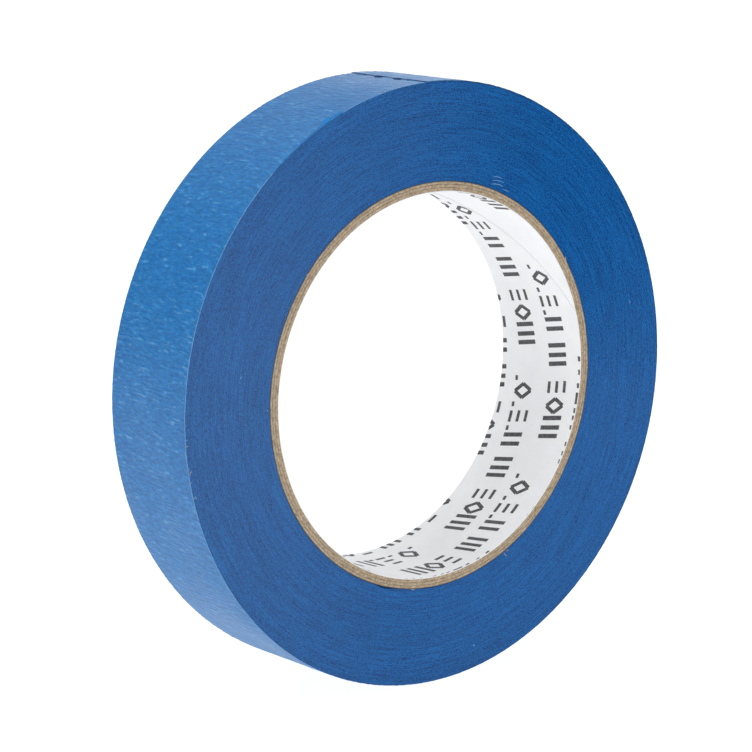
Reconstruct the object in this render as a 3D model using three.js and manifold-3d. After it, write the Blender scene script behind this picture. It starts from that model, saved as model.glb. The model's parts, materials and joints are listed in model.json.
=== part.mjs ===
// A roll of crepe-paper masking tape standing on its rim.
// Millimetres. The roll's axis lies along Y through the origin, +Z is up, and the
// printed-liner side that faces a viewer is the -Y side. Angles are measured in the
// XZ plane from +X towards +Z. The tape runs clockwise from its free end.

import * as THREE from "three";
import { mergeVertices } from "three/addons/utils/BufferGeometryUtils.js";
import Module from "manifold-3d";

const TAPE_WIDTH = 24;
const BORE_RADIUS = 38.1;
const OUTER_RADIUS = 59.6;
const TAPE_THICKNESS = 0.122;

// Paperboard core: a white printed liner and three brown kraft plies, glued together.
const LINER_THICKNESS = 0.15;
const PLY_THICKNESS = 0.615;
const GLUE_LINE = 0.02;
const PLY_COUNT = 3;

// Each ply is a strip wound on a slant, so its two edges meet in a slanting butt joint.
const BUTT_JOINT_WIDTH = 0.3;
const BUTT_JOINT_SLANT = THREE.MathUtils.degToRad(31);
const BUTT_JOINT_STEPS = 32;

// The free end of the tape: short lengths hinged to each other along the roll's axis.
const FREE_END_ANGLE = 92.2;
const CUT_SLANT = 0.4;
const CUT_WAVE = 0.12;
const LENGTH_COUNT = 8;
const LENGTH_ANGLE = 6;
const LENGTH_GAP = 0.02;
const BED_GAP = 0.015;

const FACET_ANGLE = 2;
const FULL_TURN = 360;

const wasm = await Module();
wasm.setup();

function finish(color, roughness) {
  return new THREE.MeshStandardMaterial({ color, roughness, metalness: 0 });
}

// The polar point at an angle in degrees, as [x, z].
function polar(radius, angle) {
  const turn = THREE.MathUtils.degToRad(angle);
  return [radius * Math.cos(turn), radius * Math.sin(turn)];
}

// Bends a flat box round the roll's axis. In the box x runs clockwise along the roll,
// y across the tape, and z outwards from the middle radius.
function wrapRound(box, middleRadius, startAngle, shiftAt = () => 0) {
  const points = box.getAttribute("position");
  for (let i = 0; i < points.count; i += 1) {
    const across = points.getY(i);
    const along = points.getX(i) + shiftAt(points.getX(i), across);
    const angle = startAngle - THREE.MathUtils.radToDeg(along / middleRadius);
    const [x, z] = polar(middleRadius + points.getZ(i), angle);
    points.setXYZ(i, x, across, z);
  }
  box.computeVertexNormals();
  return box;
}

function solidOf(geometry) {
  const bare = geometry.clone();
  bare.deleteAttribute("uv");
  bare.deleteAttribute("normal");
  const merged = mergeVertices(bare, 1e-4);
  return new wasm.Manifold(new wasm.Mesh({
    numProp: 3,
    vertProperties: new Float32Array(merged.getAttribute("position").array),
    triVerts: new Uint32Array(merged.getIndex().array),
  }));
}

function geometryOf(solid) {
  const mesh = solid.getMesh();
  const geometry = new THREE.BufferGeometry();
  geometry.setAttribute("position", new THREE.BufferAttribute(mesh.vertProperties, 3));
  geometry.setIndex(new THREE.BufferAttribute(mesh.triVerts, 1));
  geometry.computeVertexNormals();
  return geometry;
}

// A plain tube about the roll's axis, as wide as the tape.
function tube(innerRadius, outerRadius) {
  const half = TAPE_WIDTH / 2;
  const profile = [
    new THREE.Vector2(innerRadius, -half),
    new THREE.Vector2(outerRadius, -half),
    new THREE.Vector2(outerRadius, half),
    new THREE.Vector2(innerRadius, half),
    new THREE.Vector2(innerRadius, -half),
  ];
  return new THREE.LatheGeometry(profile, FULL_TURN / FACET_ANGLE);
}

// The slanting gap between the two edges of a wound strip.
function buttJoint(innerRadius, outerRadius, angle) {
  const overshoot = 1;
  const middle = (innerRadius + outerRadius) / 2;
  const depth = outerRadius - innerRadius + 2 * overshoot;
  const width = BUTT_JOINT_WIDTH / Math.sin(BUTT_JOINT_SLANT);
  const box = new THREE.BoxGeometry(
    width, TAPE_WIDTH + 2 * overshoot, depth, 1, BUTT_JOINT_STEPS, 1,
  );
  const slant = (along, across) => -across / Math.tan(BUTT_JOINT_SLANT);
  return wrapRound(box, middle, angle, slant);
}

function woundStrip(name, innerRadius, outerRadius, jointAngle, material) {
  const ring = solidOf(tube(innerRadius, outerRadius));
  const joint = solidOf(buttJoint(innerRadius, outerRadius, jointAngle));
  const mesh = new THREE.Mesh(geometryOf(ring.subtract(joint)), material);
  mesh.name = name;
  return mesh;
}

function makeCore() {
  const core = new THREE.Group();
  core.name = "core";
  let inner = BORE_RADIUS;
  let outer = inner + LINER_THICKNESS;
  core.add(woundStrip("core_liner", inner, outer, 46.5, finish(0xe7e9eb, 0.62)));
  const names = ["inner", "middle", "outer"];
  const browns = [0xb39e84, 0xa8937a, 0xae9a82];
  const jointAngles = [150, 262, 60];
  for (let ply = 0; ply < PLY_COUNT; ply += 1) {
    inner = outer + GLUE_LINE;
    outer = inner + PLY_THICKNESS;
    const kraft = finish(browns[ply], 0.9);
    core.add(woundStrip(`core_ply_${names[ply]}`, inner, outer, jointAngles[ply], kraft));
  }
  return { core, outerRadius: outer };
}

// Radius of the tape's outer surface after a clockwise run, in degrees, from the free end.
function tapeRadius(run) {
  return OUTER_RADIUS - TAPE_THICKNESS * run / FULL_TURN;
}

// All the turns wound tight on the core. The last turn stops where the free lengths
// begin, which leaves a shallow bed one tape thick for them to lie in.
function makeWindings(coreRadius) {
  const freeRun = LENGTH_COUNT * LENGTH_ANGLE;
  const outline = new THREE.Shape();
  outline.moveTo(...polar(tapeRadius(FULL_TURN), FREE_END_ANGLE));
  for (let run = FACET_ANGLE; run < FULL_TURN; run += FACET_ANGLE) {
    if (run <= freeRun) {
      outline.lineTo(...polar(tapeRadius(run + FULL_TURN), FREE_END_ANGLE - run));
    }
    if (run >= freeRun) {
      outline.lineTo(...polar(tapeRadius(run), FREE_END_ANGLE - run));
    }
  }
  outline.closePath();
  const bore = new THREE.Path();
  bore.moveTo(...polar(coreRadius + GLUE_LINE, 0));
  for (let angle = FACET_ANGLE; angle < FULL_TURN; angle += FACET_ANGLE) {
    bore.lineTo(...polar(coreRadius + GLUE_LINE, angle));
  }
  bore.closePath();
  outline.holes.push(bore);
  const solid = new THREE.ExtrudeGeometry(outline, { depth: TAPE_WIDTH, bevelEnabled: false });
  solid.rotateX(Math.PI / 2);
  solid.translate(0, TAPE_WIDTH / 2, 0);
  const windings = new THREE.Mesh(solid, finish(0x2f66a6, 0.72));
  windings.name = "tape_windings";
  return windings;
}

// How far the cut end strays from square: a slight slant and a slight wave.
function cutShift(across) {
  const slant = CUT_SLANT * across / TAPE_WIDTH;
  const wave = CUT_WAVE * Math.sin(across * 0.9) * Math.cos(across * 0.37);
  return slant + wave;
}

// One short length of the free end, lying in the bed. Length 1 is at the root and the
// last one has the cut end. It covers a clockwise run from startRun to startRun plus
// one length's angle.
function freeLength(number) {
  const isLast = number === LENGTH_COUNT;
  const startRun = (LENGTH_COUNT - number) * LENGTH_ANGLE;
  const outer = tapeRadius(startRun + LENGTH_ANGLE);
  const thickness = TAPE_THICKNESS - BED_GAP - TAPE_THICKNESS * LENGTH_ANGLE / FULL_TURN;
  const middle = outer - thickness / 2;
  const fullLength = THREE.MathUtils.degToRad(LENGTH_ANGLE) * middle;
  const steps = LENGTH_ANGLE / FACET_ANGLE;
  const acrossSteps = isLast ? 16 : 1;
  const box = new THREE.BoxGeometry(
    fullLength - LENGTH_GAP, TAPE_WIDTH, thickness, steps, acrossSteps, 1,
  );
  box.translate(fullLength / 2, 0, 0);
  const shift = (along, across) => {
    const nearCut = Math.max(0, 1 - along / (fullLength / 2));
    return isLast ? nearCut * cutShift(across) : 0;
  };
  wrapRound(box, middle, FREE_END_ANGLE - startRun, shift);
  const mesh = new THREE.Mesh(box, finish(0x5e93c4, 0.7));
  mesh.name = `tape_end_${number}`;
  return mesh;
}

function makeRoll() {
  const roll = new THREE.Group();
  roll.name = "masking_tape_roll";
  const { core, outerRadius } = makeCore();
  roll.add(core);
  roll.add(makeWindings(outerRadius));
  const freeEnd = new THREE.Group();
  freeEnd.name = "free_end";
  for (let number = 1; number <= LENGTH_COUNT; number += 1) {
    freeEnd.add(freeLength(number));
  }
  roll.add(freeEnd);
  return roll;
}

export default makeRoll();
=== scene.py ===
"""A roll of blue masking tape on a three-ply paperboard core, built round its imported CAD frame."""

import json
import math

import bmesh
import bpy
import numpy as np
from bpy.props import FloatProperty, FloatVectorProperty, PointerProperty
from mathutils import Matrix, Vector


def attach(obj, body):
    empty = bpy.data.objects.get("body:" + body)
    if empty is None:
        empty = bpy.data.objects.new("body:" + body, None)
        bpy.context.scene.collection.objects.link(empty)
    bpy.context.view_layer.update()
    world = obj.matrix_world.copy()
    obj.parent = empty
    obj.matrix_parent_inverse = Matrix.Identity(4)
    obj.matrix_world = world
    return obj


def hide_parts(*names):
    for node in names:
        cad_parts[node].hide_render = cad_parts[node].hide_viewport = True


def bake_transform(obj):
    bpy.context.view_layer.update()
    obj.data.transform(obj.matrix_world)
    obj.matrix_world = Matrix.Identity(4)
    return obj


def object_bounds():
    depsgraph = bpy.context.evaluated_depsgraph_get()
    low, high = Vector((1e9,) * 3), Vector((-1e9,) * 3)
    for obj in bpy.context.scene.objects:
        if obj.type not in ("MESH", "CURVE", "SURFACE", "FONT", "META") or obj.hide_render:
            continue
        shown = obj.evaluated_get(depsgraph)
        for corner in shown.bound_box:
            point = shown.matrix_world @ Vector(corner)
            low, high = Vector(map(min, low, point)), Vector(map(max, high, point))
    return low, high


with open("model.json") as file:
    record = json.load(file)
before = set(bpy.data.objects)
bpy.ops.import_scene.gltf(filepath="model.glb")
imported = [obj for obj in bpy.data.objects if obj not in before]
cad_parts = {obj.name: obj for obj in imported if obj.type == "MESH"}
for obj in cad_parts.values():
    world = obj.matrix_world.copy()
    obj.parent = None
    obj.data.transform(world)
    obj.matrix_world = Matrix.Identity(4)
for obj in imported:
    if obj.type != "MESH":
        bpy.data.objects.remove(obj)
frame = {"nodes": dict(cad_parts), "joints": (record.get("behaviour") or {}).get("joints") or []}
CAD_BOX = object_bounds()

bl_info = {
    "name": "Masking tape roll",
    "version": (1, 0, 0),
    "blender": (4, 5, 0),
    "location": "3D View > Sidebar > Tape roll",
    "description": "Builds a roll of crepe masking tape piece by piece",
    "category": "Object",
}

MM = 0.001
FULL_TURN = 360.0

# Seeds of the random reliefs: the crepe's folds, the liner, the plies, the side's grain
# and its rings.
CREPE_SEEDS = (11, 12, 13, 14)
LINER_SEED = 21
PLY_SEEDS = (31, 36, 41)
SIDE_SEED, RING_SEED = 41, 51


def node_radii(node):
    """Smallest and largest distance of a CAD node from the roll's axis."""
    places = np.array([v.co[:] for v in frame["nodes"][node].data.vertices])
    spread = np.hypot(places[:, 0], places[:, 2])
    return float(spread.min()), float(spread.max())


# Where the frame says things are. Angles are in degrees from +X towards +Z, and a run
# is the number of degrees clockwise from the cut end of the tape.
HINGES = frame["joints"]
HINGE_ANGLES = [math.degrees(math.atan2(h["pos_m"][2], h["pos_m"][0])) for h in HINGES]
LENGTH_ANGLE = HINGE_ANGLES[1] - HINGE_ANGLES[0]
CUT_ANGLE = HINGE_ANGLES[-1] + LENGTH_ANGLE
TAIL_RUN = LENGTH_ANGLE * len(HINGES)
SIDE = CAD_BOX[1].y
ROLL_RADIUS = node_radii(HINGES[-1]["child"])[1]
PACK_INNER = node_radii("tape_windings")[0]
PLY_NODES = ("core_ply_inner", "core_ply_middle", "core_ply_outer")

# The tape sheet's grid. Steps are in degrees of run, in mm from the tape's edge, or in
# shares of its half width. A face kind is the place of its material in a piece's slots.
RUN_STEP = 0.2
CREPE_COLUMNS = 60
CREPE_MARGIN = 0.5
BURR_STEPS = (0.0, 0.03, 0.1, 0.25)
BURR_DROPS = (0.05, 0.024, 0.006, 0.0)
INNER_STEPS = (1.0, 0.5, 0.0, -0.5, -1.0)
CREPE_FACE, INNER_FACE, SLIT_FACE = 0, 1, 2
SHARP_ANGLE = 50.0

# The crepe's relief, in mm. Short folds make its grain, long thin ones its lines, which
# bend a little across the tape, and patches decide where the tallest lines stand out.
LONG_FOLD_PITCH = 0.18
LONG_FOLD_STRETCH = 2.4
PATCH_GRAIN = (7.0, 6.0)
FOLD_BEND = 0.16
FOLD_BEND_GRAIN = 2.4
CREST_MEAN, CREST_FINE, CREST_LONG, CREST_TALL = 0.44, 0.19, 0.17, 0.3
TALL_START, TALL_PATCH = 1.7, 0.3

# The cut end: its slant and wave in mm, how far back they reach in degrees of run, and
# the places across the tape in mm where it has come unstuck, with their reach across,
# their rise and their reach back from the cut. BED_GAP is the room under the sheet, and
# BED_END how far in degrees the last turn stops short of the end of the bed.
CUT_SLANT, CUT_WAVE = 0.4, 0.12
CUT_BLEND_RUN = 3.0
CUT_LIFTS = ((0.0, 30.0, 0.008), (2.4, 0.8, 0.05), (-3.4, 1.0, 0.05), (11.6, 0.7, 0.04))
CUT_LIFT_BACK = 1.4
BED_GAP, BED_END = 0.015, 1.0

# The paperboard strips: their grid, the grain of their cut edges round the ring and
# through the board in mm, and their slanted butt joints. The liner's last edge stands up
# a little from the board, over a few degrees.
RING_COLUMNS = 360
WALL_CELLS = 40
BOARD_CELL = 0.1 * MM
BOARD_GRAIN = (1.5, 0.25)
BOARD_EDGE_ROUND = 0.4
JOINT_GAP, JOINT_SLANT = 0.2, 31.0
LINER_JOINT = 46.5
LINER_RELIEF = 0.03
LINER_PUCKER, PUCKER_ANGLE = 0.09, 1.6
PLY_JOINTS = (150.0, 262.0, 60.0)

# The side of the wound pack: its grid, the grain of its relief in mm at its middle
# radius, how far it falls back at the core and at the rim, and the gap round the core,
# which is wider near one angle.
SIDE_COLUMNS = 540
SIDE_RINGS = 76
SIDE_RING_PITCH = 0.25
SIDE_GRAIN = (5.0, 0.3)
SIDE_MIDDLE = 50.0
PACK_WALL_ROWS = 8
PACK_WALL_SHARE = 0.98
CORE_FALL, RIM_FALL = 0.5, 0.02
CORE_GAP, CORE_GAP_WIDER = 0.03, 0.37
CORE_GAP_ANGLE, CORE_GAP_REACH = 251.5, 2.6

# Painted light on the slit side, a pale coat that makes it lighter on the left and darkest at the
# upper right: a direction from the axis, and the coat's share where the side's own
# # direction agrees with that little and much.
PAINTED_SIDE_LIGHT = (((0.71, 0.0, 0.71), 0.6, 1.0, 0.033, 0.0), ((-1.0, 0.0, 0.0), 0.2, 1.0, 0.0, 0.036))

# Strokes lying on a face: how far they sink into it, in mm.
STROKE_SINK = 0.01

# Handling wear, in mm and degrees. The nick starts at the first angle, its broad lump
# # ends at the second and its thin tail at the third, and each has a width. A dark patch at
# # the cut end, painted shadow under the lifted end, has a place across the tape, a length
# # and a width. A hair has a radius, an angle, a length, a turn from the radius towards the
# # ring, and a width.
NICK_ANGLES = (112.2, 118.2, 131.0)
NICK_WIDTHS = (1.3, 0.42)
NICK_THICKNESS = 0.04
NICK_INSET = 0.03
NICK_RISES = (0.01, 0.06)
NICK_COLUMNS, NICK_ROWS = 161, 9
# Painted shadow: dark patches at the cut end, where it stands lifted.
CUT_SHADOW_PATCHES = ((2.4, 1.7, 1.5), (-3.4, 2.1, 1.2), (-6.6, 0.8, 0.5), (7.2, 0.7, 0.4))
CUT_SHADOW_DEPTH, CUT_SHADOW_RISE = 0.15, 0.07
CUT_SHADOW_POINTS = 15
SCUFF_HAIRS = (
    (41.2, 68.0, 3.2, 98.0, 0.17), (41.9, 68.1, 3.3, 99.0, 0.13), (42.6, 68.6, 2.5, 98.0, 0.13),
    (40.9, 64.4, 1.8, 96.0, 0.12), (40.7, 179.4, 0.3, 80.0, 0.22), (55.0, -79.3, 0.5, 40.0, 0.22),
    (52.7, 12.3, 0.5, 80.0, 0.2), (59.1, -177.3, 0.6, 20.0, 0.14), (59.2, -172.0, 0.5, 70.0, 0.16),
    (59.1, -166.5, 0.6, 50.0, 0.14), (47.3, 171.0, 0.5, 60.0, 0.18))
KRAFT_HAIRS = (
    (40.9, -63.4, 1.2, 12.0, 0.14), (40.5, -62.2, 0.8, 60.0, 0.13), (40.2, -98.0, 1.2, 84.0, 0.14),
    (40.1, 33.0, 1.0, 70.0, 0.2), (40.0, 141.0, 0.9, 62.0, 0.14), (39.8, -31.0, 1.0, 80.0, 0.14),
    (59.2, -176.2, 0.7, 15.0, 0.13), (59.0, -171.2, 0.9, 60.0, 0.13),
    (59.3, -169.4, 0.5, 30.0, 0.13), (58.8, -166.4, 0.5, 80.0, 0.13))
HAIR_BASE, HAIR_RISE = 0.035, 0.03
HAIR_BOW = 0.06
HAIR_POINTS = 11

# The print on the liner, in mm. A line of marks starts at a place across the width and
# an angle, and drifts across as it goes. A mark is strokes: where each starts and ends
# along and across the line, and its weight. The knife trimmed the print with the paper,
# so no ink goes past PRINT_MARGIN from the edge.
STROKE_STEP = 0.5
PRINT_SAMPLES = 201
PRINT_SLANT = 0.17
PRINT_MARGIN, PRINT_RISE = 0.06, 0.012
MARK_SHAPES = {
    "dot": ((0.0, 1.9, 0.0, 2.65, 1.1),),
    "bar": ((0.0, -2.65, 0.0, 2.65, 1.0),),
    "bars": ((0.0, -2.65, 0.0, 2.65, 1.0), (2.0, -2.65, 2.0, 2.65, 1.0)),
    "lozenge": ((0.0, 0.0, 1.45, 2.4, 0.9), (1.45, 2.4, 2.9, 0.0, 0.9),
                (2.9, 0.0, 1.45, -2.4, 0.9), (1.45, -2.4, 0.0, 0.0, 0.9)),
    "ladder": ((0.0, 2.3, 2.4, 2.3, 0.9), (0.0, 0.0, 2.4, 0.0, 0.9),
               (0.0, -2.3, 2.4, -2.3, 0.9)),
}
PRINT_LINE = ((0.0, "dot"), (1.3, "lozenge"), (5.5, "dot"), (6.9, "ladder"), (10.6, "dot"),
              (12.1, "bars"), (17.6, "bars"), (21.4, "bar"), (25.0, "ladder"),
              (28.6, "lozenge"), (32.6, "bars"), (36.4, "bar"))
PRINT_RUNS = (
    (-3.9, 30.7, 0.055), (-4.7, -38.0, 0.055), (-5.6, -107.0, 0.055), (-6.5, -176.0, 0.055),
    (-7.4, -245.0, 0.055), (6.4, 58.0, 0.055), (4.8, -8.0, 0.055), (3.6, -77.0, 0.055),
    (2.6, -146.0, 0.055), (1.6, -215.0, 0.055), (13.6, 20.0, 0.02), (13.2, -50.0, 0.02),
    (12.4, -120.0, 0.02), (12.0, -190.0, 0.02), (13.4, -260.0, 0.02), (-13.8, 2.0, 0.02),
    (-14.0, -68.0, 0.02), (-13.5, -138.0, 0.02), (-14.1, -208.0, 0.02))

# The stage, in metres and degrees. A dark side of the room has a direction, where it
# starts, and its share of the light at its darkest. A softbox has a place from the roll's
# centre, its two sides and its power in watts.
FLOOR_RADIUS = 25.0
WORLD_LEVEL = 0.65
DARK_SIDES = (((0.78, -0.58, 0.23), 0.0, 0.12), ((-0.75, 0.6, 0.3), 0.3, 0.3))
SOFTBOXES = (
    ("Softbox left", (-0.8, -0.3, 0.15), (0.8, 0.8), 2.7),
    ("Softbox top", (-0.1, 0.1, 1.0), (0.9, 0.9), 7.0),
    ("Softbox back", (0.6, 0.75, 0.2), (0.4, 0.3), 0.75),
    ("Softbox front", (0.06, -0.2, -0.05), (0.1, 0.1), 0.08),
)
VIEW_AZIMUTH, VIEW_ELEVATION = -38.566, 11.0
VIEW_DISTANCE = 0.59441
VIEW_OFFSET = (-0.00417, 0.00024)
VIEW_LENS = 143.944


def linear(code):
    """An sRGB hex colour as linear red, green and blue."""
    parts = [int(code[i : i + 2], 16) / 255 for i in (1, 3, 5)]
    return [p / 12.92 if p <= 0.04045 else ((p + 0.055) / 1.055) ** 2.4 for p in parts]


# ---------------------------------------------------------------- sizes and colours


LENGTH = {"unit": "LENGTH", "precision": 6}


class TapeSizes(bpy.types.PropertyGroup):
    """Sizes of the tape, its crepe and its core."""

    tape_thickness: FloatProperty(
        name="Tape thickness", description="Paper and adhesive together",
        default=0.122 * MM, **LENGTH)
    crepe_depth: FloatProperty(
        name="Crepe depth", description="From a crest of the crepe to a valley",
        default=0.085 * MM, **LENGTH)
    crepe_pitch: FloatProperty(
        name="Crepe pitch", description="Length of tape from one crepe fold to the next",
        default=0.3 * MM, **LENGTH)
    crepe_fold: FloatProperty(
        name="Crepe fold length", description="How far a fold runs across the tape",
        default=0.8 * MM, **LENGTH)
    side_relief: FloatProperty(
        name="Side relief", description="How far tape edges stand out from each other",
        default=0.05 * MM, **LENGTH)
    board_relief: FloatProperty(
        name="Board relief", description="Depth of the torn fibre on the core's cut edge",
        default=0.07 * MM, **LENGTH)
    stroke_width: FloatProperty(
        name="Printed stroke", description="Width of a printed stroke on the liner",
        default=0.92 * MM, **LENGTH)


class TapeColours(bpy.types.PropertyGroup):
    """Colours of the roll's papers, board and print."""

    crepe: FloatVectorProperty(
        name="Crepe", description="Valleys of the dyed crepe backing",
        subtype="COLOR", default=linear("#065CA1"))
    # Painted highlight: the paler blue that the crepe's crests are painted in, while the valleys
    # keep the crepe blue above.
    crepe_crest_highlight: FloatVectorProperty(
        name="Crepe crest, painted highlight", description="Crests of the crepe backing, painted paler as a highlight",
        subtype="COLOR", default=linear("#2A81BD"))
    slit_edge: FloatVectorProperty(
        name="Slit edge", description="Tape edges on the side of the roll",
        subtype="COLOR", default=linear("#01306B"))
    slit_edge_pale: FloatVectorProperty(
        name="Slit edge, pale", description="Tape edges that catch dust and light",
        subtype="COLOR", default=linear("#1069B3"))
    board: FloatVectorProperty(
        name="Core board", description="Kraft paperboard of the core",
        subtype="COLOR", default=linear("#C9B69C"))
    board_dark: FloatVectorProperty(
        name="Core board, dark", description="Shaded fibre and glue in the board",
        subtype="COLOR", default=linear("#8C7A64"))
    liner: FloatVectorProperty(
        name="Liner paper", description="Coated white paper inside the core",
        subtype="COLOR", default=linear("#F4F5F7"))
    ink: FloatVectorProperty(
        name="Ink", description="Grey print on the liner",
        subtype="COLOR", default=linear("#464649"))
    adhesive: FloatVectorProperty(
        name="Adhesive", description="Sticky side of the tape",
        subtype="COLOR", default=linear("#5C8FC4"))
    floor: FloatVectorProperty(
        name="Floor", description="Floor sheet, apart from its own light",
        subtype="COLOR", default=linear("#7C7D7E"))


def tape_sizes():
    """The sizes as the panel has them."""
    return bpy.context.scene.tape_sizes


def roll_colours():
    """The colours as the panel has them."""
    return bpy.context.scene.tape_colours


# ---------------------------------------------------------------- materials


def add(tree, kind, inputs=(), out=0, **settings):
    """Adds a node with its settings and links, and returns its output out. inputs maps
    its sockets to values or to other nodes' outputs."""
    made = tree.nodes.new("ShaderNode" + kind)
    for name, value in settings.items():
        setattr(made, name, value)
    for socket, value in dict(inputs).items():
        if isinstance(value, bpy.types.NodeSocket):
            tree.links.new(value, made.inputs[socket])
        else:
            made.inputs[socket].default_value = value
    return made.outputs[out] if made.outputs else None


def new_material(name):
    """An empty material and its node tree."""
    material = bpy.data.materials.new(name)
    material.use_nodes = True
    material.node_tree.nodes.clear()
    return material, material.node_tree


def finish_surface(tree, sockets, bump=None):
    """Ends a material with its one Principled shader. What is the same all over the
    surface stands on the shader's own sockets. bump is a height, its strength and its
    depth in mm."""
    shader = add(tree, "BsdfPrincipled", sockets)
    add(tree, "OutputMaterial", {"Surface": shader})
    if bump:
        relief = {"Height": bump[0], "Strength": bump[1], "Distance": bump[2] * MM}
        tree.links.new(add(tree, "Bump", relief), shader.node.inputs["Normal"])


def ring_place(tree):
    """The direction from the axis, the distance from it and the place across the width."""
    place = add(tree, "TexCoord", out="Object")
    across = add(tree, "SeparateXYZ", {0: place}, out="Y")
    flat = add(tree, "VectorMath", {0: place, 1: (1.0, 0.0, 1.0)}, operation="MULTIPLY")
    direction = add(tree, "VectorMath", {0: flat}, operation="NORMALIZE")
    radius = add(tree, "VectorMath", {0: flat}, out="Value", operation="LENGTH")
    return direction, radius, across


def ring_grain(tree, direction, across, radius, long, wide, detail=2.0):
    """Noise that follows the ring with no seam. long and wide are the size of a grain
    round the ring, at that radius, and across it."""
    ring = add(tree, "VectorMath", {0: direction, "Scale": radius / long}, operation="SCALE")
    step = add(tree, "Math", {0: across, 1: 1 / wide}, operation="MULTIPLY")
    lift = add(tree, "CombineXYZ", {"Y": step})
    spot = add(tree, "VectorMath", {0: ring, 1: lift}, operation="ADD")
    return add(tree, "TexNoise", {"Vector": spot, "Scale": 1.0, "Detail": detail}, out="Fac")


def loose_grain(tree, size):
    """Noise whose grains are as large in every direction."""
    place = add(tree, "TexCoord", out="Object")
    return add(tree, "TexNoise", {"Vector": place, "Scale": 1 / size, "Detail": 2.0}, out="Fac")


def heaped(tree, *grains):
    """The sum of grains. Each is a value, the range that it is cut to, and what it gives
    at the low and the high end of that range."""
    total = 0.0
    for grain, low, high, at_low, at_high in grains:
        part = add(tree, "MapRange", {0: grain, 1: low, 2: high, 3: at_low, 4: at_high})
        total = add(tree, "Math", {0: total, 1: part}, operation="ADD")
    return total


def coated(tree, base, *coats):
    """A base colour under coats of other colours. Each coat is a value, the range that it
    is cut to, the coat's share at both ends of that range, and its colour."""
    for value, low, high, at_low, at_high, colour in coats:
        share = add(tree, "MapRange", {0: value, 1: low, 2: high, 3: at_low, 4: at_high})
        base = add(tree, "Mix", {0: share, 6: base, 7: colour}, out=2, data_type="RGBA")
    return base


def toned(tree, base, grain, low, high, dark, light):
    """A colour that a grain makes darker and lighter."""
    tone = add(tree, "MapRange", {0: grain, 1: low, 2: high, 3: dark, 4: light})
    return add(tree, "Mix", {0: 1.0, 6: base, 7: tone}, out=2, data_type="RGBA",
               blend_type="MULTIPLY")


def rgba(colour, gain=1.0):
    """A colour, or the linear colour of a hex code, with its alpha. gain makes it lighter
    or darker."""
    parts = linear(colour) if isinstance(colour, str) else colour
    return [part * gain for part in parts] + [1.0]


def crepe_backing(colours):
    """Crepe paper, dyed, saturated with latex and coated with a release finish. Its crests are
    painted paler than its valleys, a painted highlight on the folds and painted shade between them.
    There are painted highlights on the tallest folds and along both edges, and the finish gives a
    dull satin sheen at grazing angles."""
    material, tree = new_material("Saturated crepe paper, dyed blue")
    direction, _, across = ring_place(tree)
    crest = add(tree, "Attribute", out="Fac", attribute_name="crest")
    # Fibres are about 0.02 mm wide. They are drawn as specks of 0.17 by 0.26 mm and
    # flecks of 0.5 by 1.5 mm, so that they show.
    speck = ring_grain(tree, direction, across, ROLL_RADIUS, 0.17 * MM, 0.26 * MM, 1.0)
    fleck = ring_grain(tree, direction, across, ROLL_RADIUS, 0.5 * MM, 1.5 * MM, 1.0)
    cloud = ring_grain(tree, direction, across, ROLL_RADIUS, 18 * MM, 14 * MM, 1.0)
    # Painted highlight and shade: the crests are painted in the paler crest blue, and the valleys
    # keep the darker crepe blue.
    painted_crest_light = heaped(tree, (crest, 0.0, 1.0, -0.02, 0.46), (speck, 0.38, 0.62, 0.0, 0.46))
    base = coated(tree, rgba(colours.crepe),
                  (painted_crest_light, 0.0, 1.0, 0.0, 1.0, rgba(colours.crepe_crest_highlight)))
    base = toned(tree, base, fleck, 0.34, 0.66, 0.88, 1.14)
    # The tallest folds are painted near white, a painted highlight on their crests. A narrow band
    # along both edges of the tape is painted paler, a painted highlight where the edge catches the
    # light.
    edge = add(tree, "Math", {0: across}, operation="ABSOLUTE")
    base = coated(tree, base,
                  (crest, 0.8, 1.0, 0.0, 0.26, rgba("#8CBEE4")),
                  (edge, SIDE - 0.22 * MM, SIDE - 0.1 * MM, 0.0, 0.5, rgba("#7DB0DC")))
    finish_surface(tree, {
        "Base Color": base, "IOR": 1.5, "Specular IOR Level": 0.42,
        "Roughness": add(tree, "MapRange", {0: cloud, 1: 0.3, 2: 0.7, 3: 0.4, 4: 0.5}),
        "Sheen Weight": 0.08, "Sheen Roughness": 0.35, "Sheen Tint": rgba("#A8E0E4")},
        (speck, 1.0, 0.03))
    return material


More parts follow.
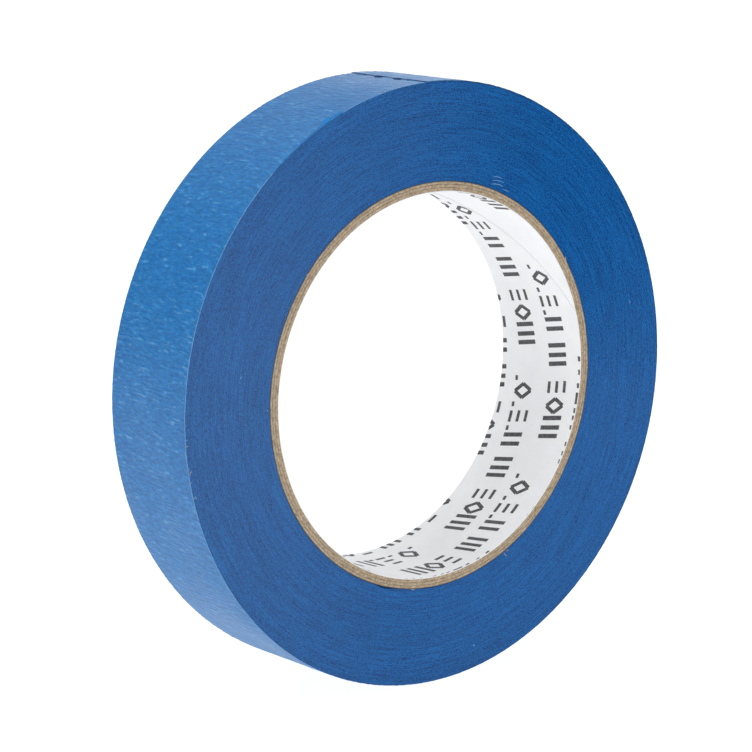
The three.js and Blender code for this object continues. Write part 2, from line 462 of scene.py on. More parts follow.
def slit_side(colours):
    """The side of the wound roll: hundreds of tape edges cut by a slitting knife. Each
    edge drags a little, which gives short streaks round the roll and a soft, dull blue."""
    material, tree = new_material("Slit tape edges, wound")
    direction, radius, _ = ring_place(tree)
    middle = 0.5 * (PACK_INNER + ROLL_RADIUS)
    # Turns lie 0.12 mm apart. Their streaks and threads are drawn 0.14 mm wide, and the
    # torn fibre between them as specks of 0.25 by 0.2 mm, so that they show.
    streak = ring_grain(tree, direction, radius, middle, 0.6 * MM, 0.14 * MM, 1.0)
    thread = ring_grain(tree, direction, radius, middle, 8 * MM, 0.14 * MM, 0.0)
    speck = ring_grain(tree, direction, radius, middle, 0.25 * MM, 0.2 * MM, 0.0)
    drift = ring_grain(tree, direction, radius, middle, 40 * MM, 5 * MM, 1.0)
    tall = heaped(tree, (streak, 0.38, 0.62, 0.0, 0.34), (speck, 0.38, 0.62, 0.0, 0.5),
                  (thread, 0.38, 0.62, 0.0, 0.34))
    base = coated(tree, rgba(colours.slit_edge),
                  (tall, 0.0, 1.0, 0.0, 1.0, rgba(colours.slit_edge_pale)))
    base = toned(tree, base, drift, 0.3, 0.7, 0.94, 1.06)
    # A pale coat is painted over the side, thicker on the left and none at the upper right: painted
    # light, lighter where the side would be lit more.
    for way, *shares in PAINTED_SIDE_LIGHT:
        facing = add(tree, "VectorMath", {0: direction, 1: way}, out="Value",
                     operation="DOT_PRODUCT")
        base = coated(tree, base, (facing, *shares, rgba("#C8D2DC")))
    finish_surface(tree, {
        "Base Color": base, "IOR": 1.45, "Specular IOR Level": 0.06,
        "Roughness": add(tree, "MapRange", {0: streak, 1: 0.3, 2: 0.7, 3: 0.45, 4: 0.6})},
        (tall, 0.6, 0.05))
    return material


def kraft_board(colours):
    """Kraft paperboard, glued in plies and cut with a knife. Its cut edge is a dull,
    fibrous tan with a darker glue line between plies."""
    material, tree = new_material("Kraft paperboard, knife cut")
    direction, radius, across = ring_place(tree)
    core = node_radii(PLY_NODES[2])[1]
    fibre = ring_grain(tree, direction, radius, core, 1.6 * MM, 0.2 * MM, 3.0)
    wall = ring_grain(tree, direction, across, core, 1.4 * MM, 0.35 * MM, 3.0)
    fleck = ring_grain(tree, direction, radius, core, 0.5 * MM, 0.45 * MM, 2.0)
    pale = heaped(tree, (fibre, 0.3, 0.7, 0.0, 0.5), (wall, 0.3, 0.7, 0.0, 0.2),
                  (fleck, 0.36, 0.64, -0.1, 0.5))
    base = coated(tree, rgba(colours.board_dark),
                  (pale, 0.0, 1.0, 0.0, 1.0, rgba(colours.board)))
    # Glue and pressed paper darken the board for about 0.1 mm beside each joint of two plies. The
    # board's outermost 0.2 mm is painted a dark blue-grey,
    #     # painted shade of the narrow gap between the core and the first turn of tape.
    glue = rgba(colours.board_dark, 0.6)
    lines = [(node_radii(node)[0], 0.13, 0.45, glue) for node in PLY_NODES[1:]]
    # Painted shade at the gap round the core: the outermost band of board is painted dark blue-grey.
    lines.append((core, 0.26, 0.95, rgba("#39434F")))
    for place, reach, share, colour in lines:
        offset = add(tree, "Math", {0: radius, 1: place}, operation="SUBTRACT")
        gap = add(tree, "Math", {0: offset}, operation="ABSOLUTE")
        base = coated(tree, base, (gap, 0.03 * MM, reach * MM, share, 0.0, colour))
    finish_surface(tree, {
        "Base Color": base, "IOR": 1.45, "Specular IOR Level": 0.25,
        "Roughness": add(tree, "MapRange", {0: fleck, 1: 0.3, 2: 0.7, 3: 0.8, 4: 0.95})},
        (pale, 0.7, 0.06))
    return material


def liner_paper(colours):
    """White paper with a smooth clay coating, calendered. It looks flat and clean, with
    a faint cloudiness and a very soft gloss."""
    material, tree = new_material("Clay-coated white paper, calendered")
    direction, _, across = ring_place(tree)
    bore = node_radii("core_liner")[0]
    cloud = ring_grain(tree, direction, across, bore, 5 * MM, 5 * MM, 3.0)
    tooth = ring_grain(tree, direction, across, bore, 0.4 * MM, 0.4 * MM, 3.0)
    base = coated(tree, rgba(colours.liner),
                  (cloud, 0.3, 0.7, 0.0, 1.0, rgba(colours.liner, 0.955)),
                  (tooth, 0.55, 0.8, 0.0, 0.22, rgba("#C9CBD0")))
    height = heaped(tree, (cloud, 0.3, 0.7, 0.0, 1.0), (tooth, 0.3, 0.7, 0.0, 0.3))
    finish_surface(tree, {
        "Base Color": base, "IOR": 1.5, "Specular IOR Level": 0.35,
        "Roughness": add(tree, "MapRange", {0: tooth, 1: 0.3, 2: 0.7, 3: 0.45, 4: 0.6})},
        (height, 0.35, 0.03))
    return material


def flexo_ink(colours):
    """Grey flexographic ink, rolled on by a rubber plate. It sinks a little unevenly into
    the paper, so that the strokes are patchy and matt."""
    material, tree = new_material("Flexographic ink, grey")
    direction, _, across = ring_place(tree)
    bore = node_radii("core_liner")[0]
    patch = ring_grain(tree, direction, across, bore, 0.5 * MM, 0.5 * MM, 3.0)
    tooth = ring_grain(tree, direction, across, bore, 0.16 * MM, 0.16 * MM, 2.0)
    base = coated(tree, rgba(colours.ink), (patch, 0.38, 0.7, 0.0, 0.4, rgba("#8C8C90")))
    finish_surface(tree, {
        "Base Color": base, "IOR": 1.45, "Specular IOR Level": 0.3,
        "Roughness": add(tree, "MapRange", {0: patch, 1: 0.3, 2: 0.7, 3: 0.55, 4: 0.75})},
        (tooth, 0.3, 0.01))
    return material


def rubber_adhesive(colours):
    """Rubber adhesive, calender-coated on the inner side of the crepe. It is smoother,
    paler and glossier than the backing, with the crepe just showing through."""
    material, tree = new_material("Rubber adhesive, coated on crepe")
    direction, _, across = ring_place(tree)
    fold = ring_grain(tree, direction, across, ROLL_RADIUS, 0.5 * MM, 2.2 * MM, 2.0)
    cloud = ring_grain(tree, direction, across, ROLL_RADIUS, 4 * MM, 4 * MM, 2.0)
    base = coated(tree, rgba(colours.adhesive, 0.85),
                  (fold, 0.3, 0.7, 0.0, 1.0, rgba(colours.adhesive, 1.1)))
    finish_surface(tree, {
        "Base Color": base, "IOR": 1.52, "Coat Weight": 0.25, "Coat Roughness": 0.25,
        "Roughness": add(tree, "MapRange", {0: cloud, 1: 0.3, 2: 0.7, 3: 0.3, 4: 0.42})},
        (fold, 0.4, 0.03))
    return material


def matt_fibre_and_shadow(name, code):
    """Paper fibre that is torn loose or freshly creased, and the dark patches of painted shadow at
    the cut end. It is matt, and uneven in tone from one half millimetre to the next."""
    material, tree = new_material(name)
    tangle = loose_grain(tree, 0.5 * MM)
    base = coated(tree, rgba(code, 0.8), (tangle, 0.3, 0.7, 0.0, 1.0, rgba(code, 1.15)))
    finish_surface(tree, {"Base Color": base, "Roughness": 0.9, "IOR": 1.45},
                   (tangle, 0.4, 0.02))
    return material


def opal_sheet(colours):
    """Opal acrylic sheet, sanded matt and lit from below. It gives back little of what
    falls on it, and its own even light turns it white and swallows all but faint shadows."""
    material, tree = new_material("Opal acrylic, lit from below")
    tooth = loose_grain(tree, 3 * MM)
    base = coated(tree, rgba(colours.floor),
                  (tooth, 0.3, 0.7, 0.0, 1.0, rgba(colours.floor, 0.985)))
    finish_surface(tree, {
        "Base Color": base, "IOR": 1.49,
        "Roughness": add(tree, "MapRange", {0: tooth, 1: 0.3, 2: 0.7, 3: 0.85, 4: 0.95}),
        "Emission Color": rgba("#FFFFFF"), "Emission Strength": 0.95})
    return material


# ---------------------------------------------------------------- shapes


def smooth_noise(shape, spacing, grain, seed):
    """Even random relief with mean 0 and deviation 1. grain is the size of a bump along
    each side of the grid, and spacing the distance between its points."""
    waves = np.fft.fft2(np.random.default_rng(seed).standard_normal(shape))
    for side in (0, 1):
        rate = np.fft.fftfreq(shape[side], spacing[side])
        fade = np.exp(-2 * (math.pi * rate * grain[side] / 2.4) ** 2)
        waves = waves * (fade[:, None] if side == 0 else fade[None, :])
    relief = np.fft.ifft2(waves).real
    return (relief - relief.mean()) / relief.std()


def at_ring(radius, angle, across):
    """Points at a distance and an angle in degrees round the axis, and across the width."""
    turn = np.radians(angle)
    return np.stack(np.broadcast_arrays(radius * np.cos(turn), across, radius * np.sin(turn)), -1)


def skin(points, closed):
    """Faces over points[i, j]: j goes round a closed section, and i along the sweep. An
    open sweep gets a cap at each end."""
    count, around = points.shape[:2]
    i = np.arange(count if closed else count - 1)[:, None]
    j = np.arange(around)[None, :]
    here, after = i * around, ((i + 1) % count) * around
    ahead = (j + 1) % around
    faces = np.stack([here + j, here + ahead, after + ahead, after + j], -1)
    faces = faces.reshape(-1, 4).tolist()
    if not closed:
        faces.append(list(range(around))[::-1])
        faces.append(list(range((count - 1) * around, count * around)))
    return faces


def make_piece(name, points, faces, materials, body=None):
    """A mesh object with its faces turned outwards, taking a slot's finish and riding on
    a body."""
    mesh = bpy.data.meshes.new(name)
    mesh.from_pydata(np.asarray(points, float).reshape(-1, 3).tolist(), [], faces)
    shell = bmesh.new()
    shell.from_mesh(mesh)
    bmesh.ops.recalc_face_normals(shell, faces=shell.faces)
    shell.to_mesh(mesh)
    shell.free()
    mesh.shade_smooth()
    mesh.set_sharp_from_angle(angle=math.radians(SHARP_ANGLE))
    for material in materials:
        mesh.materials.append(material)
    piece = bpy.data.objects.new(name, mesh)
    bpy.context.scene.collection.objects.link(piece)
    if body:
        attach(piece, body)
    return piece


def shared_normals(piece, normals):
    """Gives each corner the normal that its point has in normals, so that shading runs on
    from piece to piece. Faces with a point at zero there keep their own flat normal."""
    mesh = piece.data
    corner_point = np.empty(len(mesh.loops), int)
    mesh.loops.foreach_get("vertex_index", corner_point)
    corners, starts = np.empty((2, len(mesh.polygons)), int)
    mesh.polygons.foreach_get("loop_total", corners)
    mesh.polygons.foreach_get("loop_start", starts)
    flat = np.empty(len(mesh.polygons) * 3)
    mesh.polygons.foreach_get("normal", flat)
    given = normals[corner_point]
    whole = np.minimum.reduceat(np.abs(given).sum(1), starts) > 0
    owner = np.repeat(np.arange(len(corners)), corners)
    given = np.where(whole[owner][:, None], given, flat.reshape(-1, 3)[owner])
    mesh.normals_split_custom_set(given.tolist())


def outer_turn_radius(run):
    """Radius of the tape's outer face in the last turns, where it winds in by one
    thickness a turn."""
    return ROLL_RADIUS - tape_sizes().tape_thickness * run / FULL_TURN


def cut_shift(across):
    """How far, in degrees of run, the cut end strays from square across the tape."""
    mm = across / MM
    stray = CUT_SLANT * mm / (2 * SIDE / MM) + CUT_WAVE * np.sin(mm * 0.9) * np.cos(mm * 0.37)
    return np.degrees(stray * MM / ROLL_RADIUS)


def tape_surface():
    """The last turn and the free end as one sheet: points of its crepe outer face and its
    smooth inner face at each RUN_STEP from the cut end, with the outer face's normals and
    how high each point stands on its crepe fold."""
    size = tape_sizes()
    run = np.arange(0.0, FULL_TURN + TAIL_RUN + RUN_STEP / 2, RUN_STEP)[:, None]
    middle = SIDE - CREPE_MARGIN * MM
    burr = SIDE - np.array(BURR_STEPS) * MM
    across = np.concatenate([-burr, np.linspace(-middle, middle, CREPE_COLUMNS), burr[::-1]])
    across = across[None, :]
    shape = (run.size, across.size)
    spacing = (math.radians(RUN_STEP) * ROLL_RADIUS, 2 * SIDE / across.size)
    fine = smooth_noise(shape, spacing, (size.crepe_pitch, size.crepe_fold), CREPE_SEEDS[0])
    long_grain = (LONG_FOLD_PITCH * MM, LONG_FOLD_STRETCH * size.crepe_fold)
    fold = smooth_noise(shape, spacing, long_grain, CREPE_SEEDS[1])
    patch = smooth_noise(shape, spacing, np.array(PATCH_GRAIN) * MM, CREPE_SEEDS[2])
    bend_grain = (FOLD_BEND_GRAIN * MM, 0.0)
    bend = smooth_noise((shape[1], 1), (spacing[1], 1.0), bend_grain, CREPE_SEEDS[3])[:, 0]
    for column, steps in enumerate(np.round(FOLD_BEND * MM / spacing[0] * bend).astype(int)):
        fold[:, column] = np.roll(fold[:, column], steps)
    tall = np.clip(fold - TALL_START + TALL_PATCH * patch, 0.0, 1.0)
    crest = CREST_MEAN + CREST_FINE * fine + CREST_LONG * fold + CREST_TALL * tall
    crest = np.clip(crest, 0.0, 1.0)
    inset = np.interp(SIDE - np.abs(across), np.array(BURR_STEPS + (CREPE_MARGIN,)) * MM,
                      np.array(BURR_DROPS + (0.0,)) * MM)
    radius = outer_turn_radius(run) - size.crepe_depth * (1.0 - crest) - inset
    near_cut = np.clip(1.0 - run / CUT_BLEND_RUN, 0.0, 1.0)
    angle = CUT_ANGLE - run - near_cut * cut_shift(across)
    arc = np.radians(run) * ROLL_RADIUS
    lift = 0.0
    for spot, reach, rise in CUT_LIFTS:
        side_fade = np.exp(-(((across - spot * MM) / (reach * MM)) ** 2))
        lift = lift + rise * MM * side_fade * np.exp(-((arc / (CUT_LIFT_BACK * MM)) ** 2))
    outer = at_ring(radius + lift, angle, across)
    outer[..., 2] = np.minimum(outer[..., 2], CAD_BOX[1].z)  # nothing rises out of the box
    back = np.array(INNER_STEPS)[None, :] * SIDE
    back_lift = np.stack([np.interp(back[0], across[0], row)
                          for row in np.broadcast_to(lift, shape)])
    back_angle = CUT_ANGLE - run - near_cut * cut_shift(back)
    under = outer_turn_radius(run) - size.tape_thickness + BED_GAP * MM
    inner = at_ring(under + back_lift, back_angle, back)
    normal = np.cross(np.gradient(outer, axis=0), np.gradient(outer, axis=1))
    normal = normal / np.linalg.norm(normal, axis=2, keepdims=True)
    outward = np.einsum("ijk,ijk->ij", normal, outer * np.array([1.0, 0.0, 1.0])) > 0
    normal = np.where(outward[..., None], normal, -normal)
    return {"outer": outer, "inner": inner, "normal": normal, "crest": crest}


def tape_length(name, sheet, start_run, end_run, materials, body=None):
    """The part of the tape between two runs, as a closed thin solid with its crepe."""
    rows = slice(round(start_run / RUN_STEP), round(end_run / RUN_STEP) + 1)
    outer, inner = sheet["outer"][rows], sheet["inner"][rows]
    points = np.concatenate([outer, inner], axis=1)
    faces = skin(points, closed=False)
    piece = make_piece(name, points, faces, materials, body)
    none = np.zeros_like(inner)
    shared_normals(piece, np.concatenate([sheet["normal"][rows], none], 1).reshape(-1, 3))
    crest = np.concatenate([sheet["crest"][rows], none[..., 0]], 1).ravel()
    layer = piece.data.attributes.new("crest", "FLOAT", "POINT")
    layer.data.foreach_set("value", crest.astype(np.float32))
    # Each row of faces goes round the section: crepe, one slit edge, adhesive, other edge.
    front, around = outer.shape[1], points.shape[1]
    kinds = np.full(around, INNER_FACE)
    kinds[: front - 1] = CREPE_FACE
    kinds[[front - 1, around - 1]] = SLIT_FACE
    kinds = np.concatenate([np.tile(kinds, outer.shape[0] - 1), [SLIT_FACE, SLIT_FACE]])
    piece.data.polygons.foreach_set("material_index", kinds.astype(np.int32))
    return piece


def slanted_ring(name, inner, outer, joint, material, relief, seed, pucker=0.0):
    """A strip bent into a ring whose ends meet in a slanted butt joint at the angle joint.
    Its cut edges are rough by relief, and the inner face of its last end stands inwards
    by pucker."""
    steps = np.linspace(0.0, 1.0, RING_COLUMNS)[:, None]
    cells = max(2, round((outer - inner) / BOARD_CELL))
    rise = np.linspace(inner, outer, cells + 1)
    walls = np.linspace(-1.0, 1.0, WALL_CELLS + 1)[1:-1] * SIDE
    spacing = (FULL_TURN / RING_COLUMNS * math.radians(outer), BOARD_CELL)
    sides = []
    grain = np.array(BOARD_GRAIN) * MM
    for face, radii in ((-1, rise), (1, rise[::-1])):
        rough = smooth_noise((RING_COLUMNS, cells + 1), spacing, grain, seed + face)
        depth = relief * np.clip(0.5 + 0.3 * rough, 0.0, 1.0)
        depth[:, [0, -1]] += BOARD_EDGE_ROUND * relief
        sides.append((np.tile(radii, (RING_COLUMNS, 1)), face * (SIDE - depth)))
    plain = np.ones((RING_COLUMNS, 1))
    radius = np.concatenate([sides[0][0], plain * np.full(walls.size, outer), sides[1][0],
                             plain * np.full(walls.size, inner)], 1)
    across = np.concatenate([sides[0][1], plain * walls, sides[1][1], plain * walls[::-1]], 1)
    gap = math.degrees(JOINT_GAP * MM / outer)
    slant = np.degrees(across / math.tan(math.radians(JOINT_SLANT)) / outer)
    angle = joint + slant + gap / 2 + steps * (FULL_TURN - gap)
    near_end = np.exp(-(((1 - steps) * FULL_TURN / PUCKER_ANGLE) ** 2))
    radius = radius - np.where(radius < (inner + outer) / 2, pucker * near_end, 0.0)
    points = at_ring(radius, angle, across)
    return make_piece(name, points, skin(points, closed=False), [material], "roll")


def rounded_taper(share, least):
    """The width of a stroke that narrows roundly to both ends, as a share of its widest.
    share goes from -0.5 to 0.5 along it, and least keeps its tips open."""
    return np.sqrt(np.clip(1.0 - (2.0 * share) ** 2, least, 1.0))


def strokes_piece(name, strokes, rise, material, edge, body="roll"):
    """Flat strokes that stand off a face by rise, none of them further across the roll
    than edge. Each has the points of its middle line, the directions beside it and off
    the face, and its width at each point."""
    points, faces = [], []
    for path, side, up, width in strokes:
        half = side * width[:, None] / 2
        top = path + up * rise
        below = path - up * STROKE_SINK * MM
        section = np.stack([top - half, top + half, below + half, below - half], 1)
        section[..., 1] = np.clip(section[..., 1], -edge, edge)
        faces += [[v + len(points) for v in face] for face in skin(section, closed=False)]
        points += section.reshape(-1, 3).tolist()
    return make_piece(name, points, faces, [material], body)


# ---------------------------------------------------------------- pieces


# The names of the tape's own materials, once they are made.
TAPE_FINISHES = []


def tape_materials():
    """The materials of the tape's crepe, adhesive and slit faces, made once."""
    made = [bpy.data.materials.get(name) for name in TAPE_FINISHES]
    if not made or None in made:
        colours = roll_colours()
        made = [crepe_backing(colours), rubber_adhesive(colours), slit_side(colours)]
        TAPE_FINISHES[:] = [material.name for material in made]
    return made


class TAPEROLL_OT_liner(bpy.types.Operator):
    """Make the white paper liner with its slanted seam"""

    bl_idname = "tape_roll.liner"
    bl_label = "Liner"

    def execute(self, context):
        inner, outer = node_radii("core_liner")
        liner = slanted_ring("liner", inner, outer, LINER_JOINT, liner_paper(roll_colours()),
                             LINER_RELIEF * MM, LINER_SEED, LINER_PUCKER * MM)
        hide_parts("core_liner")
        return {"FINISHED"}


class TAPEROLL_OT_print(bpy.types.Operator):
    """Print rows of plain bars, lozenges and dots on the liner"""

    bl_idname = "tape_roll.print"
    bl_label = "Liner print"

    def execute(self, context):
        bore = node_radii("core_liner")[0]
        edge = SIDE - PRINT_MARGIN * MM
        strokes = []
        for run in PRINT_RUNS:
            for place, mark in PRINT_LINE:
                for stroke in MARK_SHAPES[mark]:
                    strokes += self.printed(bore, edge, run, place, stroke)
        strokes_piece("liner_print", strokes, PRINT_RISE * MM, flexo_ink(roll_colours()),
                      edge)
        return {"FINISHED"}

    def printed(self, bore, edge, run, place, stroke):
        """One stroke of a mark on the liner, as far as it lies inside the edge, or none."""
        row, start, drift = run
        x0, v0, x1, v1, weight = stroke
        share = np.linspace(0.0, 1.0, PRINT_SAMPLES)
        v = v0 + (v1 - v0) * share
        x = place + x0 + (x1 - x0) * share + PRINT_SLANT * v
        y = (row + v - drift * x) * MM
        inside = np.flatnonzero(np.abs(y) < edge)
        if inside.size < 3:
            return []
        length = math.hypot(x1 - x0, v1 - v0) * inside.size / PRINT_SAMPLES
        steps = max(2, round(length / STROKE_STEP) + 1)
        kept = np.linspace(inside[0], inside[-1], steps).round().astype(int)
        x, y = x[kept], y[kept]
        angle = start - np.degrees(x * MM / bore)
        path = at_ring(bore, angle, y)
        along = np.gradient(path, axis=0)
        along /= np.linalg.norm(along, axis=1, keepdims=True)
        up = -at_ring(1.0, angle, np.zeros_like(y))
        return [(path, np.cross(along, up), up, np.full(steps, tape_sizes().stroke_width * weight))]


class TAPEROLL_OT_core(bpy.types.Operator):
    """Make the three paperboard plies of the core"""

    bl_idname = "tape_roll.core"
    bl_label = "Core plies"

    def execute(self, context):
        board = kraft_board(roll_colours())
        for node, joint, seed in zip(PLY_NODES, PLY_JOINTS, PLY_SEEDS):
            inner, outer = node_radii(node)
            name = node.replace("core_ply", "core_board")
            ply = slanted_ring(name, inner, outer, joint, board,
                               tape_sizes().board_relief, seed)
            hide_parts(node)
        return {"FINISHED"}


class TAPEROLL_OT_pack(bpy.types.Operator):
    """Make the wound pack under the last turn, with the relief of its slit sides"""

    bl_idname = "tape_roll.pack"
    bl_label = "Wound pack"

    def execute(self, context):
        size = tape_sizes()
        angle = np.linspace(0.0, FULL_TURN, SIDE_COLUMNS, endpoint=False)[:, None]
        run = TAIL_RUN + (CUT_ANGLE - TAIL_RUN - angle) % FULL_TURN
        outer = outer_turn_radius(run) - size.tape_thickness
        share = np.linspace(0.0, 1.0, SIDE_RINGS + 1)[None, :]
        gap = np.exp(-(((angle - CORE_GAP_ANGLE) / CORE_GAP_REACH) ** 2))
        gap = CORE_GAP + CORE_GAP_WIDER * gap
        radius = PACK_INNER + (outer - PACK_INNER) * share
        radius[:, 1] = PACK_INNER + gap[:, 0] * MM
        shape = radius.shape
        spacing = (math.radians(FULL_TURN / SIDE_COLUMNS) * SIDE_MIDDLE * MM,
                   SIDE_RING_PITCH * MM)
        columns = []
        for face in (-1, 1):
            rough = smooth_noise(shape, spacing, np.array(SIDE_GRAIN) * MM, SIDE_SEED + face)
            ring = np.random.default_rng(RING_SEED + face).standard_normal(shape[1])
            depth = size.side_relief * np.clip(0.9 + 0.2 * rough + 0.2 * ring, 0.4, 1.4)
            depth[:, 0] += CORE_FALL * MM
            depth[:, -1] += RIM_FALL * MM
            order = slice(None) if face < 0 else slice(None, None, -1)
            columns.append((radius[:, order], face * (SIDE - depth[:, order])))
        walls = np.linspace(-PACK_WALL_SHARE, PACK_WALL_SHARE, PACK_WALL_ROWS) * SIDE
        plain = np.ones_like(angle)
        radii = [columns[0][0], outer * np.ones_like(walls), columns[1][0],
                 PACK_INNER * plain * np.ones_like(walls)]
        across = [columns[0][1], plain * walls, columns[1][1], plain * walls[::-1]]
        points = at_ring(np.concatenate(radii, 1), angle, np.concatenate(across, 1))
        pack = make_piece("wound_pack", points, skin(points, closed=True),
                          [tape_materials()[2]], "roll")
        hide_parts("tape_windings")
        return {"FINISHED"}


class TAPEROLL_OT_last_turn(bpy.types.Operator):
    """Make the last fixed turn of tape, which ends in the bed under the free end"""

    bl_idname = "tape_roll.last_turn"
    bl_label = "Last turn"

    def execute(self, context):
        sheet = tape_surface()
        ends = (TAIL_RUN, TAIL_RUN + FULL_TURN / 2, TAIL_RUN + FULL_TURN - BED_END)
        for number in (1, 2):
            tape_length(f"last_turn_{number}", sheet, ends[number - 1], ends[number],
                        tape_materials(), "roll")
        return {"FINISHED"}


class TAPEROLL_OT_free_end(bpy.types.Operator):
    """Make the free end as short lengths, each from one hinge to the next"""

    bl_idname = "tape_roll.free_end"
    bl_label = "Free end"

    def execute(self, context):
        sheet = tape_surface()
        for number, hinge in enumerate(HINGES):
            start = TAIL_RUN - number * LENGTH_ANGLE
            bent = start - LENGTH_ANGLE
            piece = tape_length(f"free_end_{number + 1}", sheet, bent, start, tape_materials())
            ends = [at_ring(outer_turn_radius(run), CUT_ANGLE - run, 0.0)
                    for run in (start, bent)]
            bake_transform(piece)
            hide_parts(hinge["child"])
        return {"FINISHED"}


class TAPEROLL_OT_wear_and_shadows(bpy.types.Operator):
    """Make the small marks of handling, a folded nick, scuffs and torn fibres, and the painted
    shadow at the cut end
    """

    bl_idname = "tape_roll.wear"
    bl_label = "Handling wear and painted shadows"

    def execute(self, context):
        self.folded_nick(matt_fibre_and_shadow("Saturated crepe paper, freshly creased", "#0D78C0"))
        # The dark patches at the cut end are painted shadow.
        self.cut_end_shadows(matt_fibre_and_shadow("Painted shadow at the cut end", "#0C2F5E"))
        crepe, kraft = (matt_fibre_and_shadow("Torn crepe fibre, pale", "#6C9ED2"),
                        matt_fibre_and_shadow("Torn kraft fibre", "#A99C86"))
        self.hairs("side_scuff", SCUFF_HAIRS, crepe, "crepe_tape")
        self.hairs("core_fibres", KRAFT_HAIRS, kraft, "kraft_paperboard")
        return {"FINISHED"}

    def folded_nick(self, material):
        """A sliver of the tape's front edge, knocked over so that its clean side shows."""
        start, middle, end = NICK_ANGLES
        angle = np.linspace(start, end, NICK_COLUMNS)[:, None]
        across = np.linspace(0.0, 1.0, NICK_ROWS)[None, :]
        lump = np.clip((angle - start) / (middle - start), 0.0, 1.0)
        tail = np.clip((angle - start) / (end - start), 0.0, 1.0)
        lump_edge, tail_edge = 0.8 + 0.2 * np.sin(13.0 * lump), 0.8 + 0.2 * np.sin(41.0 * tail)
        swell = (NICK_WIDTHS[0] * np.sin(math.pi * lump) ** 0.7 * lump_edge
                 + NICK_WIDTHS[1] * np.sin(math.pi * tail) ** 0.5 * tail_edge)
        run = (CUT_ANGLE - angle) % FULL_TURN
        y = -SIDE + (NICK_INSET + swell * across) * MM
        rise = (NICK_RISES[0] + NICK_RISES[1] * across**2 * np.clip(swell, 0.0, 1.0)) * MM
        top = at_ring(outer_turn_radius(run) + rise, angle, y)
        under = at_ring(outer_turn_radius(run) + rise - NICK_THICKNESS * MM, angle, y)
        points = np.concatenate([top, under[:, ::-1]], axis=1)
        make_piece("edge_nick", points, skin(points, closed=False), [material],
                   "roll")

    def cut_end_shadows(self, material):
        """Small dark patches against the step at the cut end, painted shadow under the places where
        the end stands lifted.
        """
        strokes = []
        for spot, length, width in CUT_SHADOW_PATCHES:
            share = np.linspace(-0.5, 0.5, CUT_SHADOW_POINTS)
            y = (spot + length * share) * MM
            angle = CUT_ANGLE - cut_shift(y) + 0.38 * width + 0.05 * np.sin(17.0 * share)
            path = at_ring(ROLL_RADIUS - CUT_SHADOW_DEPTH * MM, angle, y)
            up = at_ring(1.0, angle, np.zeros_like(y))
            side = np.cross(up, np.array([0.0, 1.0, 0.0]))
            lumpy = 0.85 + 0.15 * np.sin(23.0 * share)
            strokes.append((path, side, up, width * MM * rounded_taper(share, 0.03) * lumpy))
        strokes_piece("cut_end_painted_shadow", strokes, CUT_SHADOW_RISE * MM, material, SIDE,
                      HINGES[-1]["child"])

    def hairs(self, name, spots, material, slot):
        """Short loose fibres lying on the front side, each at a radius and an angle."""
        strokes = []
        for radius, angle, length, turn, width in spots:
            share = np.linspace(-0.5, 0.5, HAIR_POINTS)
            bow = HAIR_BOW * length * np.cos(math.pi * share)
            along = length * share
            ahead, aside = math.cos(math.radians(turn)), math.sin(math.radians(turn))
            radial = radius + along * ahead + bow * aside
            swing = np.degrees((along * aside - bow * ahead) / radius)
            path = at_ring(radial * MM, angle + swing, -SIDE + HAIR_BASE * MM)
            tangent = np.gradient(path, axis=0)
            tangent /= np.linalg.norm(tangent, axis=1, keepdims=True)
            up = np.tile([0.0, -1.0, 0.0], (HAIR_POINTS, 1))
            taper = width * MM * rounded_taper(share, 0.04)
            strokes.append((path, np.cross(tangent, up), up, taper))
        strokes_piece(name, strokes, HAIR_RISE * MM, material, SIDE)


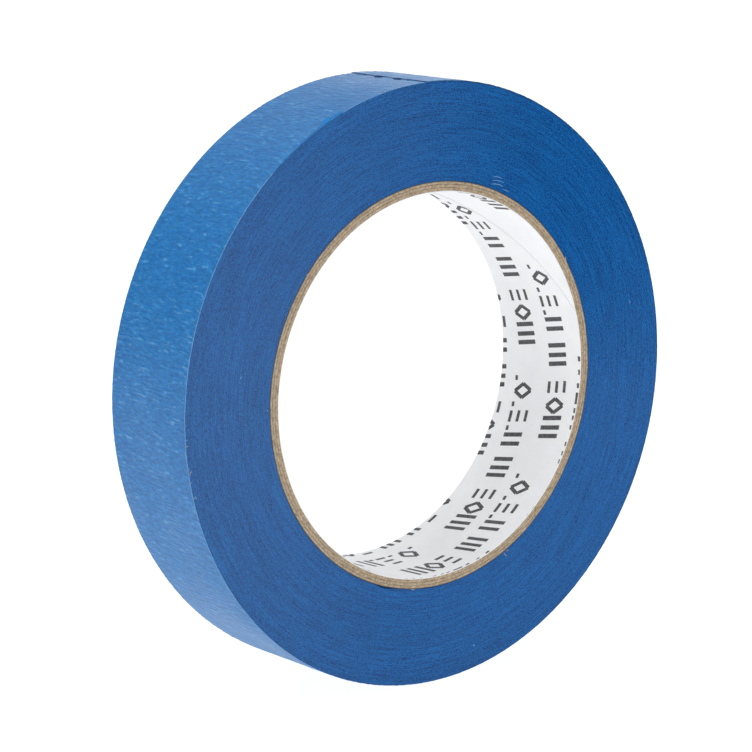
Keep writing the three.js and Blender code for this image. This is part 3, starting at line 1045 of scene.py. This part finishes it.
class TAPEROLL_OT_stage(bpy.types.Operator):
    """Make the pale floor, the soft lights and the camera"""

    bl_idname = "tape_roll.stage"
    bl_label = "Stage"

    def execute(self, context):
        floor_shape = bmesh.new()
        bmesh.ops.create_circle(floor_shape, cap_ends=True, segments=96, radius=FLOOR_RADIUS)
        mesh = bpy.data.meshes.new("floor")
        floor_shape.to_mesh(mesh)
        floor_shape.free()
        mesh.materials.append(opal_sheet(roll_colours()))
        floor = bpy.data.objects.new("floor", mesh)
        floor.location.z = CAD_BOX[0].z
        context.scene.collection.objects.link(floor)

        world = bpy.data.worlds.new("Soft white studio")
        world.use_nodes = True
        background = world.node_tree.nodes["Background"]
        background.inputs["Color"].default_value = rgba("#FFFFFF")
        tree = world.node_tree
        ray = add(tree, "TexCoord", out="Generated")
        light = WORLD_LEVEL
        for direction, start, dimmest in DARK_SIDES:
            facing = add(tree, "VectorMath", {0: ray, 1: direction}, out="Value",
                         operation="DOT_PRODUCT")
            share = add(tree, "MapRange", {0: facing, 1: start, 2: 0.95, 3: 1.0, 4: dimmest})
            light = add(tree, "Math", {0: light, 1: share}, operation="MULTIPLY")
        seen = add(tree, "LightPath", out="Is Camera Ray")
        level = add(tree, "Math", {0: light, 1: seen}, operation="MAXIMUM")
        tree.links.new(level, background.inputs["Strength"])
        context.scene.world = world
        context.scene.view_settings.view_transform = "Standard"

        centre = (CAD_BOX[0] + CAD_BOX[1]) / 2
        for name, place, side, power in SOFTBOXES:
            lamp = bpy.data.lights.new(name, "AREA")
            lamp.shape, lamp.size, lamp.size_y, lamp.energy = "RECTANGLE", *side, power
            box = bpy.data.objects.new(name, lamp)
            box.location = centre + Vector(place)
            box.visible_camera = False
            box.rotation_euler = (centre - box.location).to_track_quat("-Z", "Y").to_euler()
            context.scene.collection.objects.link(box)

        camera = bpy.data.objects.new("camera", bpy.data.cameras.new("camera"))
        azimuth, elevation = math.radians(VIEW_AZIMUTH), math.radians(VIEW_ELEVATION)
        back = Vector((math.sin(azimuth) * math.cos(elevation),
                       -math.cos(azimuth) * math.cos(elevation), math.sin(elevation)))
        right = Vector((math.cos(azimuth), math.sin(azimuth), 0.0))
        camera.location = (centre + back * VIEW_DISTANCE + right * VIEW_OFFSET[0]
                           + back.cross(right) * VIEW_OFFSET[1])
        camera.rotation_euler = (-back).to_track_quat("-Z", "Y").to_euler()
        camera.data.lens, camera.data.sensor_width = VIEW_LENS, 36.0
        camera.data.clip_start, camera.data.clip_end = 0.01, 2 * FLOOR_RADIUS
        context.scene.collection.objects.link(camera)
        context.scene.camera = camera
        return {"FINISHED"}


class TAPEROLL_PT_panel(bpy.types.Panel):
    """Sizes, colours and the pieces of the roll"""

    bl_idname = "TAPEROLL_PT_panel"
    bl_label = "Tape roll"
    bl_space_type = "VIEW_3D"
    bl_region_type = "UI"
    bl_category = "Tape roll"

    def draw(self, context):
        layout = self.layout
        for group in (context.scene.tape_sizes, context.scene.tape_colours):
            for name in group.__annotations__:
                layout.prop(group, name)
        for operator in OPERATORS:
            layout.operator(operator.bl_idname)


OPERATORS = (TAPEROLL_OT_stage, TAPEROLL_OT_liner, TAPEROLL_OT_print, TAPEROLL_OT_core,
             TAPEROLL_OT_pack, TAPEROLL_OT_last_turn, TAPEROLL_OT_free_end, TAPEROLL_OT_wear_and_shadows)
CLASSES = (TapeSizes, TapeColours, *OPERATORS, TAPEROLL_PT_panel)


def register():
    for made in CLASSES:
        bpy.utils.register_class(made)
    bpy.types.Scene.tape_sizes = PointerProperty(type=TapeSizes)
    bpy.types.Scene.tape_colours = PointerProperty(type=TapeColours)


def unregister():
    del bpy.types.Scene.tape_colours
    del bpy.types.Scene.tape_sizes
    for made in reversed(CLASSES):
        bpy.utils.unregister_class(made)


def main():
    """Builds every piece in order."""
    register()
    for operator in OPERATORS:
        group, name = operator.bl_idname.split(".")
        getattr(getattr(bpy.ops, group), name)()


if __name__ == "__main__":
    main()
